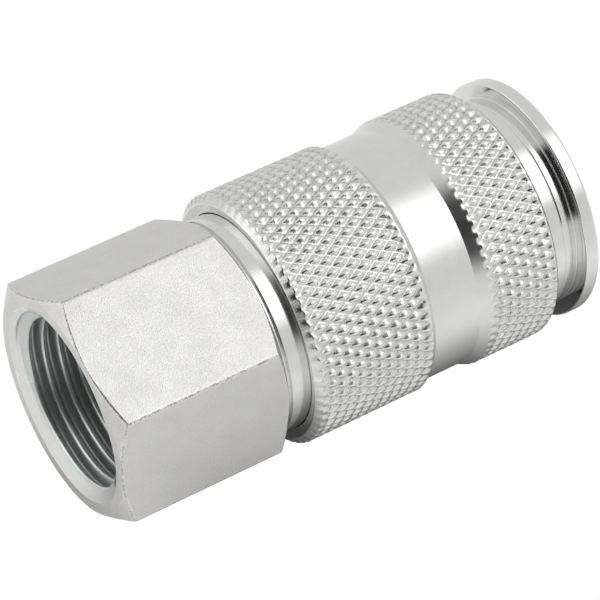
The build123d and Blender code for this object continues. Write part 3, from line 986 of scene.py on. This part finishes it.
# Locking balls: eight hardened bearing balls, each loose in its own hole and held in by the sleeve.
# They drop into the plug's groove.
ball_grey = (0.72, 0.72, 0.74)
ball_steel = metal("ball_chrome", ball_grey, 0.07, grain=0.0005, grain_size=0.1, marks=0.0, speck=0.02)
for number in range(1, ball_count + 1):
    finish_cad(f"locking_ball_{number}", ball_steel)


# Sleeve spring: a larger coil of the same kind of wire between the adaptor's collar and the washer.
# It holds the sleeve forward.
sleeve_wire_r = 0.55 * mm
sleeve_turns = 5.0
sleeve_spring = coil("sleeve_spring_wire", "sleeve_spring", sleeve_wire_r, sleeve_turns, wire_steel)
fit(sleeve_spring, "housing", "spring_steel", "sleeve_spring")
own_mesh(sleeve_spring)


# Thrust washer: a flat ring stamped from spring strip, on which the sleeve turns freely while the
# spring stands still.
washer_rear, washer_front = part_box("thrust_washer")[0].x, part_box("thrust_washer")[1].x
washer_r, washer_bore_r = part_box("thrust_washer")[1].z, 10.5 * mm
washer = turned("thrust_washer_strip", [
    (washer_rear, washer_bore_r, 0.12 * mm),
    (washer_rear, washer_r, 0.12 * mm),
    (washer_front, washer_r, 0.2 * mm),
    (washer_front, washer_bore_r, 0.2 * mm),
], strip_steel)
fit(washer, "washer", "spring_steel", "thrust_washer")


# Release sleeve: turned from steel tube, with a smooth waist between two grips. A pair of rollers
# presses the diamond knurl into the grips, then the ends and the waist are turned clean through it.
sleeve_rear, sleeve_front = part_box("release_sleeve")[0].x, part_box("release_sleeve")[1].x
grip_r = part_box("release_sleeve")[1].z
lip_width = 0.72 * mm
rear_grip_end, front_grip_start = inlet + 37 * mm, inlet + 45 * mm
waist_start, waist_end = inlet + 37.75 * mm, inlet + 43.47 * mm
nose_gap_end = inlet + 48.85 * mm
guide_end, guide_r = inlet + 47.679 * mm, 11.55 * mm
land_start, land_end, land_r = inlet + 38 * mm, inlet + 44.79 * mm, 10.55 * mm
rim_r = 13.55 * mm
waist_r = 13.77 * mm
sleeve_bore_r = 12.45 * mm
nose_gap_r = 12.7 * mm
knurl_teeth = 66
knurl_spacing = 2.4 * mm
knurl_depth = 0.5 * mm


def dense(points, spacing, beyond_r):
    """Split the outline's longer runs outside a radius, so that a pattern can be pressed into them."""
    split = []
    for point, following in zip(points, points[1:] + points[:1]):
        steps = 1
        if min(point[1], following[1]) > beyond_r:
            steps = max(1, math.ceil((following - point).length / spacing - 1e-6))
        split += [point.lerp(following, step / steps) for step in range(steps)]
    return split


sleeve_corners = [
    (sleeve_rear + 0.36 * mm, sleeve_bore_r, 0.1 * mm),
    (sleeve_rear, rim_r, 0.2 * mm),
    (sleeve_rear + lip_width, grip_r, 0.2 * mm),
    (rear_grip_end, grip_r),
    (waist_start, waist_r, 0.15 * mm),
    (waist_end, waist_r, 0.1 * mm),
    (waist_end + 0.12 * mm, waist_r + 0.053 * mm),
    (front_grip_start, grip_r, 0.03 * mm),
    (sleeve_front - 0.5 * mm, grip_r, 0.5 * mm),
    (sleeve_front, grip_r - 0.45 * mm, 0.3 * mm),
    (sleeve_front, nose_gap_r, 0.25 * mm),
    (nose_gap_end, nose_gap_r),
    (nose_gap_end, guide_r),
    (guide_end, guide_r),
    (land_end, land_r),
    (land_start, land_r),
    (land_start, sleeve_bore_r),
]
sleeve_outline = dense(rounded(sleeve_corners), knurl_spacing / 11, waist_r + 0.03 * mm)
sleeve_columns = knurl_teeth * 8
sleeve_angles = np.linspace(0, 2 * math.pi, sleeve_columns, endpoint=False)
sleeve = skin("release_sleeve_steel", [sleeve_outline] * sleeve_columns, sleeve_angles)

knurl_tree, given, give = make_group(
    "diamond_knurl",
    "GeometryNodeTree",
    [
        ("Geometry", "NodeSocketGeometry", None),
        ("Teeth", "NodeSocketFloat", 0.0),
        ("Spacing", "NodeSocketFloat", 0.0),
        ("Crest Radius", "NodeSocketFloat", 0.0),
        ("Depth", "NodeSocketFloat", 0.0),
        ("Waist Radius", "NodeSocketFloat", 0.0),
        ("Rear Start", "NodeSocketFloat", 0.0),
        ("Rear End", "NodeSocketFloat", 0.0),
        ("Front Start", "NodeSocketFloat", 0.0),
        ("Front End", "NodeSocketFloat", 0.0),
        ("Smooth Steel", "NodeSocketMaterial", None),
        ("Knurled Steel", "NodeSocketMaterial", None),
    ],
    [("Geometry", "NodeSocketGeometry")],
)
position = node(knurl_tree, "GeometryNodeInputPosition").outputs[0]
x, y, z, radius = axis_radius(knurl_tree, position)
per_radian = calc(knurl_tree, "DIVIDE", given["Teeth"], 2 * math.pi)
teeth = calc(knurl_tree, "MULTIPLY", calc(knurl_tree, "ARCTAN2", z, y), per_radian)
along = calc(knurl_tree, "DIVIDE", x, given["Spacing"])
left_groove = calc(knurl_tree, "PINGPONG", calc(knurl_tree, "ADD", teeth, along), 0.5)
right_groove = calc(knurl_tree, "PINGPONG", calc(knurl_tree, "SUBTRACT", teeth, along), 0.5)
from_groove = calc(knurl_tree, "SMOOTH_MIN", left_groove, right_groove, 0.08)
sunk = calc(knurl_tree, "POWER", calc(knurl_tree, "MULTIPLY_ADD", from_groove, -2.0, 1.0), 1.8)
uneven = node(knurl_tree, "ShaderNodeTexNoise", {
    "Vector": position, "Scale": 900.0, "Detail": 1.0,
}).outputs[0]
sunk = calc(knurl_tree, "ADD", sunk, calc(knurl_tree, "MULTIPLY_ADD", uneven, 0.3, -0.15))
from_end = 1e3
for end in ("Rear Start", "Rear End", "Front Start", "Front End"):
    distance = calc(knurl_tree, "ABSOLUTE", calc(knurl_tree, "SUBTRACT", x, given[end]))
    from_end = calc(knurl_tree, "MINIMUM", distance, from_end)
shallow_end = soft_step(knurl_tree, from_end, 0.0, 1.1 * mm, 0.5, 1.0)
depth = calc(knurl_tree, "MULTIPLY", given["Depth"], shallow_end)
down_ramp = calc(knurl_tree, "SUBTRACT", given["Front Start"], x)
front_grip = soft_step(knurl_tree, down_ramp, 0.0, 0.6 * mm, 1.0, 0.0)
either_grip = calc(knurl_tree, "MAXIMUM", front_grip, calc(knurl_tree, "LESS_THAN", x, given["Rear End"]))
depth = calc(knurl_tree, "MULTIPLY", depth, either_grip)
pressed = calc(knurl_tree, "SUBTRACT", given["Crest Radius"], calc(knurl_tree, "MULTIPLY", sunk, depth))
wanted = calc(knurl_tree, "MINIMUM", radius, pressed)
on_grip = calc(knurl_tree, "GREATER_THAN", radius, given["Waist Radius"])
knurled = set_radius(knurl_tree, given["Geometry"], radius, wanted, on_grip)
painted = paint(knurl_tree, knurled, given["Smooth Steel"])
painted = node(knurl_tree, "GeometryNodeRealizeInstances", {0: painted}).outputs[0]
x, y, z, radius = axis_radius(knurl_tree, node(knurl_tree, "GeometryNodeInputPosition").outputs[0])
outside = calc(knurl_tree, "GREATER_THAN", radius, given["Waist Radius"])
in_waist = calc(knurl_tree, "GREATER_THAN", x, given["Rear End"])
in_waist = calc(knurl_tree, "MULTIPLY", in_waist, calc(knurl_tree, "LESS_THAN", x, given["Front Start"]))
outside = calc(knurl_tree, "MULTIPLY", outside, calc(knurl_tree, "SUBTRACT", 1.0, in_waist))
give("Geometry", paint(knurl_tree, painted, given["Knurled Steel"], outside))

run_tree(sleeve, knurl_tree, {
    "Teeth": float(knurl_teeth),
    "Spacing": knurl_spacing,
    "Crest Radius": grip_r + 0.03 * mm,
    "Depth": knurl_depth,
    "Waist Radius": waist_r + 0.02 * mm,
    "Rear Start": sleeve_rear + lip_width,
    "Rear End": rear_grip_end,
    "Front Start": front_grip_start,
    "Front End": sleeve_front - 0.3 * mm,
    "Smooth Steel": metal("waist_zinc", zinc, 0.23, grain=0.002, grain_size=0.2, marks=0.002),
    "Knurled Steel": metal("knurl_zinc", zinc, 0.22, grain=0.025, grain_size=0.16, marks=0.0, speck=0.15),
})
fit(sleeve, "sleeve", "knurled_steel", "release_sleeve")
